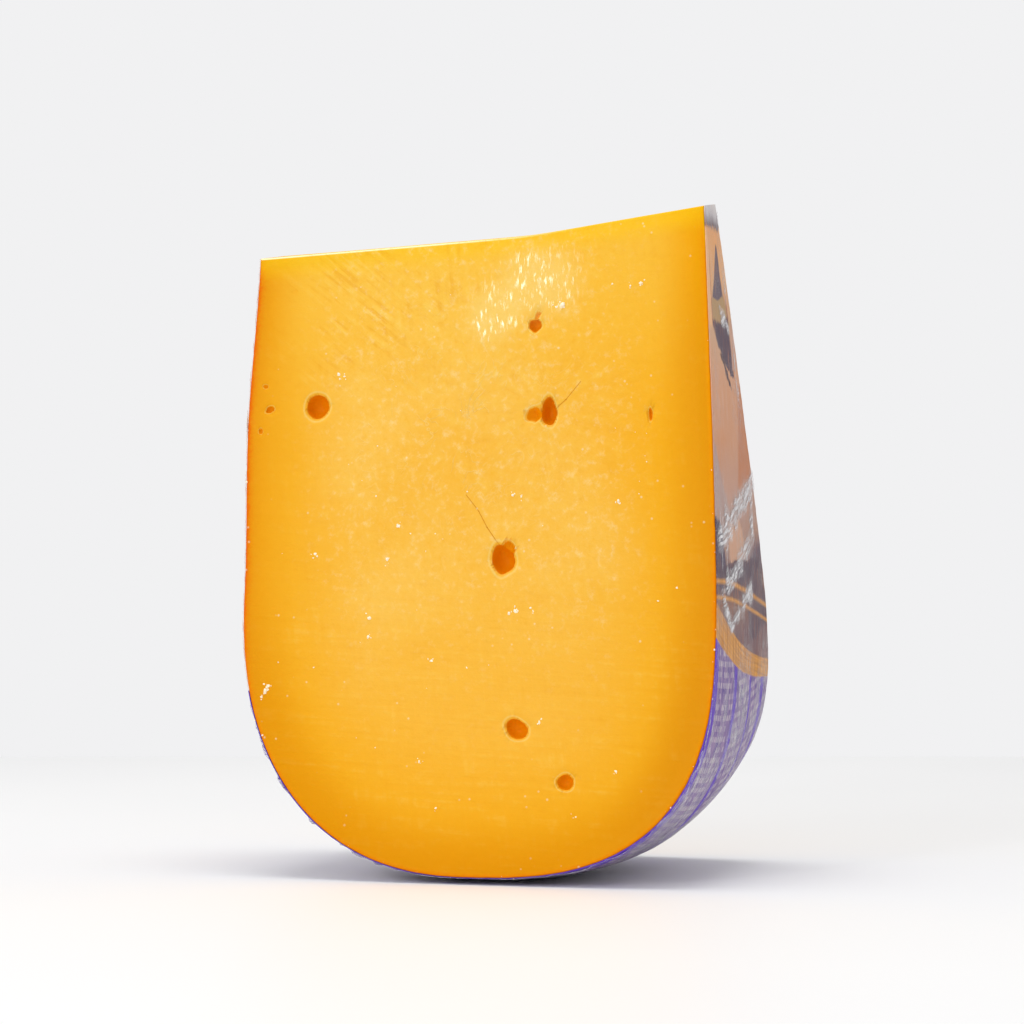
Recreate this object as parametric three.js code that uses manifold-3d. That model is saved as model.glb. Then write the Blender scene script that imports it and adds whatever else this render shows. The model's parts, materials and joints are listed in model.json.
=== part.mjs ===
// A wedge cut from a whole round cheese, standing on its rim.
// Millimetres, +Z up. X runs along the axis of the whole wheel, from its plain side to its
// labelled side. The front cut faces -Y. The origin is the middle of the small flat patch
// that the rim rests on.

import * as THREE from 'three';
import { mergeVertices } from 'three/addons/utils/BufferGeometryUtils.js';
import Module from 'manifold-3d';

const wasm = await Module();
wasm.setup();

// ---- Driving sizes ----------------------------------------------------------------------

const wheelRadius = 185;     // axis of the whole wheel to its rim
const wheelHeight = 115;     // plain side to labelled side
const wedgeAngle = 24.5;     // degrees between the two radial cuts
const frontLean = 8;         // degrees that the front cut leans back from upright
const restDepth = 1.2;       // how far the rim is pressed flat where it rests

const tipFromAxis = 34;      // axis down to the cut that took the tip off, at the front cut
const tipRise = 6;           // degrees that this cut rises from the front cut to the rear one
const tipBend = 9;           // where along X it changes its slope
const tipBendReach = 9;      // half the length of the rounded bend there
const tipSlopePlain = 3.4;   // degrees, towards the plain side
const tipSlopeLabel = 8.4;   // degrees, towards the labelled side

const labelThickness = 0.4;
const labelEdgeRadius = 142; // the label ends here on the plain side's shoulder
const filmThickness = 0.3;
const layerGap = 0.2;        // between cheese and label, and between label and film

// Each side of the wheel is nearly flat out to flatRadius and rounds over to the rim from
// there. The bulge swells the flat and the dish draws it in towards the axis.
const plainSide = { flatRadius: 119, roundness: 2.3, bulge: 1.1, dish: 0 };
const labelSide = { flatRadius: 129, roundness: 2.7, bulge: 0, dish: 7.5 };
const bulgeReach = 80;
const dishOnset = 25;

// Gas holes that the two cuts opened: place along X, distance from the axis, half width,
// half height and depth.
const frontEyes = [
  { x: -41, fromAxis: 74.5, halfWidth: 2.7, halfHeight: 2.8, depth: 3.2 },
  { x: 15, fromAxis: 76, halfWidth: 2.6, halfHeight: 3.3, depth: 3.4 },
  { x: 11.5, fromAxis: 55, halfWidth: 1.4, halfHeight: 1.9, depth: 1.8 },
  { x: 6, fromAxis: 111, halfWidth: 2.8, halfHeight: 3.7, depth: 4.0 },
  { x: 11, fromAxis: 150.5, halfWidth: 2.7, halfHeight: 2.3, depth: 2.6 },
  { x: 23, fromAxis: 162.5, halfWidth: 1.9, halfHeight: 1.6, depth: 2.0 },
];
const rearEyes = [
  { x: -22, fromAxis: 66, halfWidth: 3.0, halfHeight: 2.6, depth: 3.2 },
  { x: 27, fromAxis: 88, halfWidth: 2.2, halfHeight: 2.7, depth: 2.6 },
  { x: -8, fromAxis: 128, halfWidth: 2.9, halfHeight: 3.2, depth: 3.5 },
  { x: 19, fromAxis: 152, halfWidth: 1.7, halfHeight: 1.8, depth: 2.0 },
];

// Fineness
const wheelSegments = 200;
const flatSteps = 9;
const shoulderSteps = 13;
const eyeSegments = 12;

// ---- Sizes that follow -------------------------------------------------------------------

const halfHeight = wheelHeight / 2;
const labelInner = layerGap;
const labelOuter = labelInner + labelThickness;
const filmInner = labelOuter + layerGap;
const filmOuter = filmInner + filmThickness;
const axisZ = wheelRadius + filmOuter - restDepth;
const frontAngle = THREE.MathUtils.degToRad(frontLean);
const rearAngle = THREE.MathUtils.degToRad(frontLean - wedgeAngle);
const reach = 2 * (wheelRadius + wheelHeight);
const profileStart = tipFromAxis / 2;

// ---- Profile of the wheel: x is the radius, y the height along the axis -----------------------

// One side from the axis out to the middle of the rim. The flat is a line with a bulge and a
// dish; the shoulder is a quarter of a superellipse.
function sideProfile(side, sign, startRadius) {
  const points = [];
  for (let i = 0; i < flatSteps; i += 1) {
    const radius = THREE.MathUtils.lerp(startRadius, side.flatRadius, i / flatSteps);
    const inward = side.flatRadius - radius;
    const swell = side.bulge * Math.sin(Math.PI * Math.min(inward / bulgeReach, 1)) ** 2;
    const dished = side.dish * inward ** 2 / (100 * (inward + dishOnset));
    points.push(new THREE.Vector2(radius, sign * (halfHeight + swell - dished)));
  }
  for (let i = 0; i <= shoulderSteps; i += 1) {
    const turn = i / shoulderSteps * Math.PI / 2;
    const out = Math.sin(turn) ** (2 / side.roundness);
    const across = i === shoulderSteps ? 0 : Math.cos(turn) ** (2 / side.roundness);
    const radius = side.flatRadius + (wheelRadius - side.flatRadius) * out;
    points.push(new THREE.Vector2(radius, sign * halfHeight * across));
  }
  return points;
}

// Both sides in one run, from the plain side over the rim to the labelled side.
function wheelProfile(startRadius) {
  const plain = sideProfile(plainSide, -1, startRadius);
  const label = sideProfile(labelSide, 1, startRadius).reverse();
  return plain.concat(label.slice(1));
}

// Each point moved out along the profile's own normal.
function offsetProfile(points, distance) {
  return points.map((point, i) => {
    const before = points[Math.max(i - 1, 0)];
    const after = points[Math.min(i + 1, points.length - 1)];
    const along = after.clone().sub(before).normalize();
    return new THREE.Vector2(point.x + distance * along.y, point.y - distance * along.x);
  });
}

// ---- Solids --------------------------------------------------------------------------------

// A closed geometry as a manifold solid, without the flat triangles at a lathe's poles.
function solid(geometry) {
  geometry.deleteAttribute('normal');
  geometry.deleteAttribute('uv');
  const merged = mergeVertices(geometry, 1e-4);
  const index = merged.index.array;
  const kept = [];
  for (let i = 0; i < index.length; i += 3) {
    const [a, b, c] = index.slice(i, i + 3);
    if (a !== b && b !== c && c !== a) kept.push(a, b, c);
  }
  return new wasm.Manifold(new wasm.Mesh({
    numProp: 3,
    vertProperties: new Float32Array(merged.attributes.position.array),
    triVerts: new Uint32Array(kept),
  }));
}

// A profile turned about the wheel's axis, which lies along X at the height axisZ.
function turned(profile) {
  const geometry = new THREE.LatheGeometry(profile, wheelSegments);
  geometry.rotateZ(-Math.PI / 2);
  geometry.translate(0, 0, axisZ);
  return solid(geometry);
}

// The whole wheel, swollen by an offset, and pressed flat so that the film rests at z = 0 and
// each layer inside it still fits.
function pressedWheel(offset) {
  const profile = offsetProfile(wheelProfile(profileStart), offset);
  const first = new THREE.Vector2(0, profile[0].y);
  const last = new THREE.Vector2(0, profile[profile.length - 1].y);
  return turned([first, ...profile, last]).intersect(aboveFlat(filmOuter - offset));
}

// The plain side out to labelEdgeRadius, which the label leaves bare.
function bareSide() {
  const geometry = new THREE.CylinderGeometry(labelEdgeRadius, labelEdgeRadius, reach, wheelSegments);
  geometry.rotateZ(Math.PI / 2);
  geometry.translate(-reach / 2, 0, axisZ);
  return solid(geometry);
}

// ---- The cuts that every layer shares ---------------------------------------------------------

// A prism along X of an outline drawn in the plane of Y and Z.
function prismAlongX(outline) {
  const geometry = new THREE.ExtrudeGeometry(new THREE.Shape(outline), {
    depth: reach,
    bevelEnabled: false,
  });
  geometry.translate(0, 0, -reach / 2);
  geometry.applyMatrix4(new THREE.Matrix4().makeBasis(
    new THREE.Vector3(0, 1, 0),
    new THREE.Vector3(0, 0, 1),
    new THREE.Vector3(1, 0, 0),
  ));
  return solid(geometry);
}

// The sector between the two radial cuts, which meet on the wheel's axis.
function sector() {
  const down = (angle) => new THREE.Vector2(-reach * Math.sin(angle), axisZ - reach * Math.cos(angle));
  return prismAlongX([new THREE.Vector2(0, axisZ), down(frontAngle), down(rearAngle)]);
}

// Everything below the tip cut: two slopes with a rounded bend between them, sheared so that
// the cut rises towards the rear. It keeps its height where it meets the front cut.
function belowTip() {
  const plainSlope = Math.tan(THREE.MathUtils.degToRad(tipSlopePlain));
  const labelSlope = Math.tan(THREE.MathUtils.degToRad(tipSlopeLabel));
  const bendZ = axisZ - tipFromAxis;
  const far = reach / 2;
  const outline = new THREE.Shape();
  outline.moveTo(-far, bendZ - plainSlope * (far + tipBend));
  outline.lineTo(tipBend - tipBendReach, bendZ - plainSlope * tipBendReach);
  outline.quadraticCurveTo(tipBend, bendZ, tipBend + tipBendReach, bendZ + labelSlope * tipBendReach);
  outline.lineTo(far, bendZ + labelSlope * (far - tipBend));
  outline.lineTo(far, -reach);
  outline.lineTo(-far, -reach);
  const geometry = new THREE.ExtrudeGeometry(outline, {
    depth: reach,
    bevelEnabled: false,
    curveSegments: 6,
  });
  geometry.translate(0, 0, -reach / 2);
  geometry.rotateX(Math.PI / 2);
  const rise = Math.tan(THREE.MathUtils.degToRad(tipRise));
  geometry.applyMatrix4(new THREE.Matrix4().makeShear(0, 0, 0, rise, 0, 0));
  geometry.translate(0, 0, rise * tipFromAxis * Math.tan(frontAngle));
  return solid(geometry);
}

// Everything above the flat that the rim is pressed to.
function aboveFlat(level) {
  const block = new THREE.BoxGeometry(reach, reach, reach);
  block.translate(0, 0, level + reach / 2);
  return solid(block);
}

// An ellipsoid with its middle on a radial cut and its depth square to it.
function eye({ x, fromAxis, halfWidth, halfHeight, depth }, angle) {
  const geometry = new THREE.SphereGeometry(1, eyeSegments, eyeSegments / 2);
  geometry.scale(halfWidth, depth, halfHeight);
  geometry.translate(x, 0, -fromAxis);
  geometry.rotateX(-angle);
  geometry.translate(0, 0, axisZ);
  return solid(geometry);
}

// ---- The pieces ---------------------------------------------------------------------------------

const portion = sector().intersect(belowTip());

function cheese() {
  let body = pressedWheel(0).intersect(portion);
  for (const hole of frontEyes) body = body.subtract(eye(hole, frontAngle));
  for (const hole of rearEyes) body = body.subtract(eye(hole, rearAngle));
  return body;
}

function label() {
  const sheet = pressedWheel(labelOuter).subtract(pressedWheel(labelInner));
  return sheet.subtract(bareSide()).intersect(portion);
}

function film() {
  return pressedWheel(filmOuter).subtract(pressedWheel(filmInner)).intersect(portion);
}

function piece(name, body, material) {
  const { vertProperties, triVerts } = body.getMesh();
  const geometry = new THREE.BufferGeometry();
  geometry.setAttribute('position', new THREE.BufferAttribute(vertProperties, 3));
  geometry.setIndex(new THREE.BufferAttribute(triVerts, 1));
  geometry.computeVertexNormals();
  const mesh = new THREE.Mesh(geometry, new THREE.MeshStandardMaterial(material));
  mesh.name = name;
  return mesh;
}

const wedge = new THREE.Group();
wedge.name = 'cheese_wedge';
wedge.add(piece('cheese', cheese(), { color: 0xf9bb43, roughness: 0.45, metalness: 0 }));
wedge.add(piece('label', label(), { color: 0x8f7fb4, roughness: 0.5, metalness: 0 }));
wedge.add(piece('film', film(), {
  color: 0xf2f4f6,
  roughness: 0.15,
  metalness: 0,
  transparent: true,
  opacity: 0.25,
}));

export default wedge;
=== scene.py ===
"""A wedge of aged cheese standing on its rim: paste and rind, printed label and clear film.

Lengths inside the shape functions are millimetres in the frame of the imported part: X along the
axis of the whole wheel, +Z up, and the front cut facing -Y. A section of the wheel is written as
(across, radius), and it is placed by the angle that its half-plane makes with straight down.
"""

import json
import math

import bpy
import numpy as np
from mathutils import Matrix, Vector


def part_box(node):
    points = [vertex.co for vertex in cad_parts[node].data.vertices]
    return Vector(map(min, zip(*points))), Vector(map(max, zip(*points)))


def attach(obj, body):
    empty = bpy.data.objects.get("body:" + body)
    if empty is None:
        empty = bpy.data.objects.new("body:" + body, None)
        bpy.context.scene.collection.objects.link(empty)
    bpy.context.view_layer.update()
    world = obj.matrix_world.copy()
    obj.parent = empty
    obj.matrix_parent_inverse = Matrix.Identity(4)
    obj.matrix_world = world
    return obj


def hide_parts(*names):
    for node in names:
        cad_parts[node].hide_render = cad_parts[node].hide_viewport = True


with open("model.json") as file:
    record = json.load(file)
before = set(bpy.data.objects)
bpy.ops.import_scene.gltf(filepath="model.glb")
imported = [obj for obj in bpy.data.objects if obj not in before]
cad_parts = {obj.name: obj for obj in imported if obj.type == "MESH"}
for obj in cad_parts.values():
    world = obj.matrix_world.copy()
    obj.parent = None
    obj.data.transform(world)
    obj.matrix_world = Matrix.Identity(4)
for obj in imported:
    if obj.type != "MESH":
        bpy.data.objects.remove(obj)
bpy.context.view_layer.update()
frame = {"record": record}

# ---- Sizes from the frame -------------------------------------------------------------------

MM = 0.001
mounts = {m["name"]: m for m in frame["record"]["mounts"]}
front_cut, rear_cut = mounts["front_cut"], mounts["rear_cut"]
cheese_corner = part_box("cheese")[1] / MM
film_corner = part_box("film")[0] / MM

FRONT = math.asin(front_cut["axis"][2])
REAR = -math.asin(rear_cut["axis"][2])
_, cut_y, cut_z = front_cut["pos_m"]
_, outward_y, outward_z = front_cut["axis"]
AXIS_Z = (cut_z + cut_y * outward_y / outward_z) / MM
WHEEL_RADIUS = cheese_corner.y / math.sin(-REAR)
HALF_HEIGHT = cheese_corner.x
FLOOR_Z = film_corner.z

# ---- Sizes of the wheel's section -----------------------------------------------------------

PLAIN_FLAT = 119.0
PLAIN_ROUNDNESS = 2.3
PLAIN_BULGE = 1.1
BULGE_REACH = 80.0
LABEL_FLAT = 129.0
LABEL_ROUNDNESS = 2.7
LABEL_DISH = 7.5
DISH_ONSET = 25.0
LABEL_EDGE_RADIUS = 142.0

TIP_FROM_AXIS = 34.0
TIP_RISE = math.tan(math.radians(6))
TIP_BEND = 9.0
TIP_BEND_REACH = 9.0
TIP_SLOPE_PLAIN = math.tan(math.radians(3.4))
TIP_SLOPE_LABEL = math.tan(math.radians(8.4))

PROFILE_STEPS = 260
PRESS_TURN = 0.5
EDGE_ROUND = 0.35
FACE_COLUMNS = 176
FACE_ROWS = 196
SKIN_ROWS = 34
FIRST_ROW = math.radians(0.9)
ROUND_ROWS = 3
SKIN_ROUGH = 0.02
SKIN_MARK = -5.0

# Distances of the inner and outer faces of the label and the film from the skin.
LABEL_INNER = 0.06
LABEL_OUTER = 0.14
FILM_INNER = 0.20
FILM_OUTER = 0.25
LABEL_STEP = 1.3
FILM_STEP = 0.95

# ---- Noise ------------------------------------------------------------------------------------


def lattice_noise(a, b, seed):
    """Random heights from -1 to 1 on a lattice of unit cells, joined by a smoothstep blend."""
    table = np.random.default_rng(seed).uniform(-1, 1, (256, 256))
    i, j = np.floor(a).astype(int), np.floor(b).astype(int)
    u, v = a - i, b - j
    u, v = u * u * (3 - 2 * u), v * v * (3 - 2 * v)
    low = table[i % 256, j % 256] * (1 - u) + table[(i + 1) % 256, j % 256] * u
    high = table[i % 256, (j + 1) % 256] * (1 - u) + table[(i + 1) % 256, (j + 1) % 256] * u
    return low * (1 - v) + high * v


def layered_noise(a, b, seed, layers=3):
    """Lattice noise, with each further layer twice as fine and half as high."""
    total = 0
    for k in range(layers):
        total += lattice_noise(a * 2**k + 17 * k, b * 2**k - 11 * k, seed + k) / 2**k
    return total


def smooth_step(low, high, value):
    """0 below low, 1 above high, and 3t^2 - 2t^3 between them."""
    t = np.clip((value - low) / (high - low), 0, 1)
    return t * t * (3 - 2 * t)


# ---- The section of the wheel -----------------------------------------------------------------


def flat_across(radius, side):
    """Half height of the wheel on its flat: a plain value, plus a sine-squared bulge on the plain
    side, less a dish on the label side that goes from quadratic to linear towards the axis."""
    if side < 0:
        inward = np.clip((PLAIN_FLAT - radius) / BULGE_REACH, 0, 1)
        return HALF_HEIGHT + PLAIN_BULGE * np.sin(np.pi * inward) ** 2
    inward = np.clip(LABEL_FLAT - radius, 0, None)
    return HALF_HEIGHT - LABEL_DISH * inward**2 / (100 * (inward + DISH_ONSET))


def half_profile(side, flat, roundness):
    """One side from near the axis to the rim: the flat, then a quarter of a superellipse."""
    radius = np.linspace(TIP_FROM_AXIS / 2, flat, PROFILE_STEPS, endpoint=False)
    turn = np.linspace(0, np.pi / 2, PROFILE_STEPS)
    along = np.cos(turn) ** (2 / roundness)
    along[-1] = 0
    out = flat + (WHEEL_RADIUS - flat) * np.sin(turn) ** (2 / roundness)
    across = np.concatenate([flat_across(radius, side), HALF_HEIGHT * along])
    return np.stack([side * across, np.concatenate([radius, out])], -1)


def whole_profile():
    """The section from the plain side over the rim to the label side, with its distance along
    the run, which is 0 at the middle of the rim, and its outward normals."""
    plain = half_profile(-1, PLAIN_FLAT, PLAIN_ROUNDNESS)
    label = half_profile(1, LABEL_FLAT, LABEL_ROUNDNESS)[::-1]
    points = np.concatenate([plain, label[1:]])
    steps = np.hypot(*np.diff(points, axis=0).T)
    run = np.concatenate([[0], np.cumsum(steps)])
    run -= run[len(plain) - 1]
    tangent = np.gradient(points, run, axis=0)
    tangent /= np.linalg.norm(tangent, axis=1, keepdims=True)
    normal = np.stack([-tangent[:, 1], tangent[:, 0]], -1)
    normal *= np.sign(normal[len(plain) - 1, 1])
    return points, run, normal


PROFILE, RUN, NORMAL = whole_profile()
OUTLINE = PROFILE[::3]

# Which of the profile's points lie on the plain side, on its flat and its shoulder, and on the
# label side, where the radius falls as the run grows.
PLAIN_SIDE = slice(0, 2 * PROFILE_STEPS)
FLAT_PART = slice(0, PROFILE_STEPS)
SHOULDER_PART = slice(PROFILE_STEPS, 2 * PROFILE_STEPS - 1)
LABEL_SIDE = slice(2 * PROFILE_STEPS, None)
RUN_PLAIN_FLAT = np.interp(PLAIN_FLAT, PROFILE[FLAT_PART, 1], RUN[FLAT_PART])
RUN_LABEL_FLAT = np.interp(-LABEL_FLAT, -PROFILE[LABEL_SIDE, 1], RUN[LABEL_SIDE])
RUN_LABEL_EDGE = np.interp(LABEL_EDGE_RADIUS, PROFILE[SHOULDER_PART, 1], RUN[SHOULDER_PART])


def skin_section(run, offset):
    """Section points at distances along the run, moved out along the profile's normal."""
    points = [np.interp(run, RUN, PROFILE[:, k]) for k in (0, 1)]
    normals = [np.interp(run, RUN, NORMAL[:, k]) for k in (0, 1)]
    return np.stack([p + offset * n for p, n in zip(points, normals)], -1)


def tip_drop(across):
    """Drop from the axis to the cut that took the tip off, where it meets the front cut: two
    slopes, blended over a rounded bend."""
    beyond = across - TIP_BEND
    bend = np.sqrt(beyond**2 + (TIP_BEND_REACH / 2) ** 2)
    mean = (TIP_SLOPE_LABEL + TIP_SLOPE_PLAIN) / 2
    spread = (TIP_SLOPE_LABEL - TIP_SLOPE_PLAIN) / 2
    return TIP_FROM_AXIS - mean * beyond - spread * bend


def tip_reach(radius, angle):
    """How far down the tip cut a radius at an angle comes, measured at the front cut: the cut
    rises evenly towards the rear."""
    depth = radius * np.sin(angle) - TIP_FROM_AXIS * math.tan(FRONT)
    return radius * np.cos(angle) - TIP_RISE * depth


def tip_radius(across, angle):
    """The radius of the tip cut at an angle: the one that reaches as far as its drop."""
    lean = TIP_RISE * TIP_FROM_AXIS * math.tan(FRONT)
    return (tip_drop(across) - lean) / (np.cos(angle) - TIP_RISE * np.sin(angle))


def tip_runs(angle, offset):
    """Where the skin, moved out by offset, meets the tip cut: on the plain and the label side."""
    section = skin_section(RUN, offset)
    below = tip_reach(section[:, 1], angle) - tip_drop(section[:, 0])
    middle = len(RUN) // 2
    plain = np.interp(0, below[:middle], RUN[:middle])
    label = np.interp(0, below[:middle:-1], RUN[:middle:-1])
    return plain, label


def place(section, angle):
    """Section points to the part's frame: (across, -radius sin, axis height - radius cos)."""
    across, radius = section[..., 0], section[..., 1]
    return np.stack([across, -radius * np.sin(angle), AXIS_Z - radius * np.cos(angle)], -1)


def press_flat(points, offset=0.0):
    """Heights held above the level that a layer at this offset from the skin is pressed to. A
    parabola, (over + t)^2 / 4t, joins the level to the skin within t of it, and t is PRESS_TURN.
    The outside of the film comes down to the floor."""
    level = FLOOR_Z + FILM_OUTER - offset
    over = points[..., 2] - level
    turn = np.clip(over + PRESS_TURN, 0, None) ** 2 / (4 * PRESS_TURN)
    points[..., 2] = level + np.where(over > PRESS_TURN, over, turn)
    return points


def path_distance(points, path):
    """Least distance from each point to the chords of a path, in two or three dimensions."""
    start, chord = path[:-1], np.diff(path, axis=0)
    length2 = (chord**2).sum(1)
    result = np.empty(len(points))
    for part in np.array_split(np.arange(len(points)), 1 + len(points) * len(path) // 2_000_000):
        offset = points[part][:, None] - start
        share = np.clip((offset * chord).sum(-1) / length2, 0, 1)
        result[part] = np.sqrt(((offset - share[..., None] * chord) ** 2).sum(-1)).min(1)
    return result


# ---- Meshes -----------------------------------------------------------------------------------


def grid_faces(index, flip=False):
    """Quads over a two-dimensional array of vertex numbers."""
    quads = np.stack([index[:-1, :-1], index[1:, :-1], index[1:, 1:], index[:-1, 1:]], -1)
    quads = quads.reshape(-1, 4)
    return quads[:, ::-1] if flip else quads


def make_piece(name, points, faces, material, node, values=None, sharp=35):
    """A mesh object from millimetre points; values are attributes, one number for each point."""
    mesh = bpy.data.meshes.new(name)
    mesh.from_pydata((points * MM).tolist(), [], faces.tolist())
    for key, value in (values or {}).items():
        mesh.attributes.new(key, "FLOAT", "POINT").data.foreach_set("value", value.astype(np.float32))
    mesh.materials.append(material)
    mesh.shade_smooth()
    if sharp:
        mesh.set_sharp_from_angle(angle=math.radians(sharp))
    mesh.validate()
    piece = bpy.data.objects.new(name, mesh)
    bpy.context.scene.collection.objects.link(piece)
    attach(piece, "root")
    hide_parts(node)


def closed_sheet(inner, outer):
    """Two grids of points joined along all four borders: points and outward faces."""
    rows, columns = outer.shape[:2]
    top = np.arange(rows * columns).reshape(rows, columns)
    bottom = top + rows * columns
    border = np.concatenate([top[0, :-1], top[:-1, -1], top[-1, :0:-1], top[:0:-1, 0]])
    ring = np.stack([border, np.roll(border, -1)])
    wall = np.stack([ring[0], ring[1], ring[1] + rows * columns, ring[0] + rows * columns], -1)
    points = np.concatenate([outer.reshape(-1, 3), inner.reshape(-1, 3)])
    return points, np.concatenate([grid_faces(top), grid_faces(bottom, flip=True), wall])


# ---- Marks of the two cuts --------------------------------------------------------------------

# Gas holes: across, distance from the axis, half width, half height, depth, tilt in degrees, and
# how uneven the outline is. The lobes are small hollows that open into a hole or stand alone.
FRONT_EYES = [
    (-41.2, 74.6, 2.75, 2.85, 3.4, 0, 0.012),
    (15.9, 76.2, 1.8, 3.3, 3.6, -8, 0.05),
    (11.8, 55.7, 1.4, 1.6, 1.9, -20, 0.06),
    (6.1, 111.0, 2.7, 3.5, 4.2, -6, 0.05),
    (11.0, 150.5, 2.8, 2.1, 2.8, 28, 0.03),
    (23.1, 162.6, 1.95, 1.75, 2.2, 0, 0.03),
    (40.4, 77.0, 0.45, 1.5, 0.9, -6, 0.05),
    (-53.2, 75.2, 1.1, 0.7, 0.9, -25, 0.05),
]
FRONT_LOBES = [
    (12.4, 76.8, 1.7, 1.9, 1.5, 10, 0.08),
    (12.4, 52.9, 0.8, 0.8, 0.7, 0, 0.05),
    (7.3, 108.4, 1.5, 1.7, 1.9, 0, 0.05),
    (-54.6, 69.6, 0.6, 0.5, 0.5, 0, 0.05),
    (-55.3, 80.4, 0.5, 0.7, 0.5, 0, 0.05),
]
REAR_EYES = [
    (-22.0, 66.0, 3.0, 2.7, 3.4, 12, 0.03),
    (27.0, 88.0, 2.2, 2.8, 2.8, -15, 0.05),
    (-8.0, 128.0, 2.9, 3.3, 3.6, 0, 0.04),
    (-37.0, 109.0, 1.2, 1.0, 1.3, 20, 0.03),
    (19.0, 152.0, 1.7, 1.8, 2.2, 0, 0.04),
    (4.0, 92.0, 0.9, 0.7, 0.8, 0, 0.05),
]
REAR_LOBES = [
    (30.2, 86.4, 1.3, 1.5, 1.4, 0, 0.05),
    (-34.9, 110.2, 0.7, 0.6, 0.6, 0, 0.05),
]
EYE_REACH = 4.5
PIT_SHARE = 5.0
LIP = 0.14
NO_EYE = 3.0


def eye_distance(section, eye, seed):
    """Distance from an eye's middle in units of its own wavy outline, and the offset in those
    units. The outline's radius is 1 plus small waves of two, three and five turns."""
    across, radius, half_width, half_height, _, tilt, rough = eye
    turn = math.radians(tilt)
    dx, dr = section[..., 0] - across, section[..., 1] - radius
    x = (dx * math.cos(turn) + dr * math.sin(turn)) / half_width
    y = (-dx * math.sin(turn) + dr * math.cos(turn)) / half_height
    bearing = np.arctan2(y, x)
    phase = np.random.default_rng(seed).uniform(0, 6.28, 3)
    wave = np.sin(2 * bearing + phase[0]) + np.sin(3 * bearing + phase[1])
    wave += 0.6 * np.sin(5 * bearing + phase[2])
    return np.hypot(x, y) / (1 + rough * wave), dx, dr


def draw_together(section, eyes):
    """Grid points moved in towards each eye, so that its wall gets as many as it needs: the
    distance runs along the pit's own arc inside the outline and evenly outside it. The reach
    stays clear of the border."""
    for number, eye in enumerate(eyes):
        distance, dx, dr = eye_distance(section, eye, number)
        room = path_distance(np.array([eye[:2]]), OUTLINE)[0] / max(eye[2:4]) / 1.2
        reach = min(EYE_REACH, room)
        share = PIT_SHARE * (reach - 1) / (EYE_REACH - 1)
        travelled = distance * (share + reach - 1) / reach
        inside = np.sin(np.clip(travelled / share, 0, 1) * np.pi / 2)
        moved = np.where(travelled < share, inside, 1 + travelled - share)
        scale = np.where(distance < reach, moved / np.maximum(distance, 1e-6), 1)
        section = section.copy()
        section[..., 0] += dx * (scale - 1)
        section[..., 1] += dr * (scale - 1)
    return section


def cut_relief(section, eyes, seed):
    """Depth below the plane of a cut, and the distance from the nearest eye in units of its own
    outline. Long soft waves and knife ripples that fan round a far point make the plane. Each eye
    is half an ellipsoid whose mouth rounds over into the plane with a slightly raised ring."""
    across, radius = section[..., 0], section[..., 1]
    depth = 0.22 * layered_noise(across / 38, radius / 46, seed, 2)
    fan = np.hypot(across + 150, radius - 330)
    depth += 0.035 * lattice_noise(fan / 3.2, across / 60, seed + 5)
    depth += 0.03 * layered_noise(across / 5.5, radius / 9, seed + 9, 2)
    nearest = np.full(depth.shape, NO_EYE)
    for number, eye in enumerate(eyes):
        distance, _, _ = eye_distance(section, eye, number)
        rough = 1 + 0.05 * lattice_noise(across * 1.3, radius * 1.3, seed + number)
        pit = eye[4] * np.sqrt(np.clip(1 - distance**2, 0, 1)) * rough
        mouth = 0.06 * eye[4] * np.clip(1 - (distance - 1) / LIP, 0, 1) ** 2
        ring = 0.03 * np.exp(-(((distance - 1.3) / 0.12) ** 2))
        depth = np.where(distance < 1, np.maximum(depth, pit + 0.06 * eye[4]), depth + mouth - ring)
        nearest = np.minimum(nearest, distance)
    return depth, nearest


# ---- The cheese -------------------------------------------------------------------------------


def section_loop(angle, inset, rough=0.0):
    """The border of the wedge's section at an angle, in four runs: along the tip cut, down the
    label side, along the rim and down the plain side. Inset moves it inwards, and rough is the
    height of the small bumps of the skin and of the ripples of the tip cut."""
    plain_tip, label_tip = tip_runs(angle, -inset)
    v = np.linspace(0, 1, FACE_ROWS + 1)
    u = np.linspace(0, 1, FACE_COLUMNS + 1)

    def skin(run):
        bumps = layered_noise(run / 7, run * 0 + angle * WHEEL_RADIUS / 9, 77, 3)
        return skin_section(run, rough * bumps - inset)

    left = skin(plain_tip + (RUN_PLAIN_FLAT - plain_tip) * v)
    right = skin(label_tip + (RUN_LABEL_FLAT - label_tip) * v)
    rim = skin(RUN_PLAIN_FLAT + (RUN_LABEL_FLAT - RUN_PLAIN_FLAT) * u)
    across = left[0, 0] + (right[0, 0] - left[0, 0]) * u
    ripple = 2 * rough * layered_noise(across / 16, across * 0 + angle * 14, 88, 2)
    top = np.stack([across, tip_radius(across, angle) + inset + ripple], -1)
    left[0], right[0] = top[0], top[-1]
    return top, right, rim, left


def join_loop(top, right, rim, left):
    return np.concatenate([top[:-1], right[:-1], rim[:0:-1], left[:0:-1]])


def face_section(angle, inset):
    """A grid over the section, blended from its four borders (a Coons patch)."""
    top, right, rim, left = section_loop(angle, inset)
    u = np.linspace(0, 1, FACE_COLUMNS + 1)[:, None, None]
    v = np.linspace(0, 1, FACE_ROWS + 1)[None, :, None]
    sides = (1 - u) * left[None] + u * right[None]
    ends = (1 - v) * top[:, None] + v * rim[:, None]
    corners = (1 - u) * ((1 - v) * left[0] + v * left[-1]) + u * ((1 - v) * right[0] + v * right[-1])
    return sides + ends - corners


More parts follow.
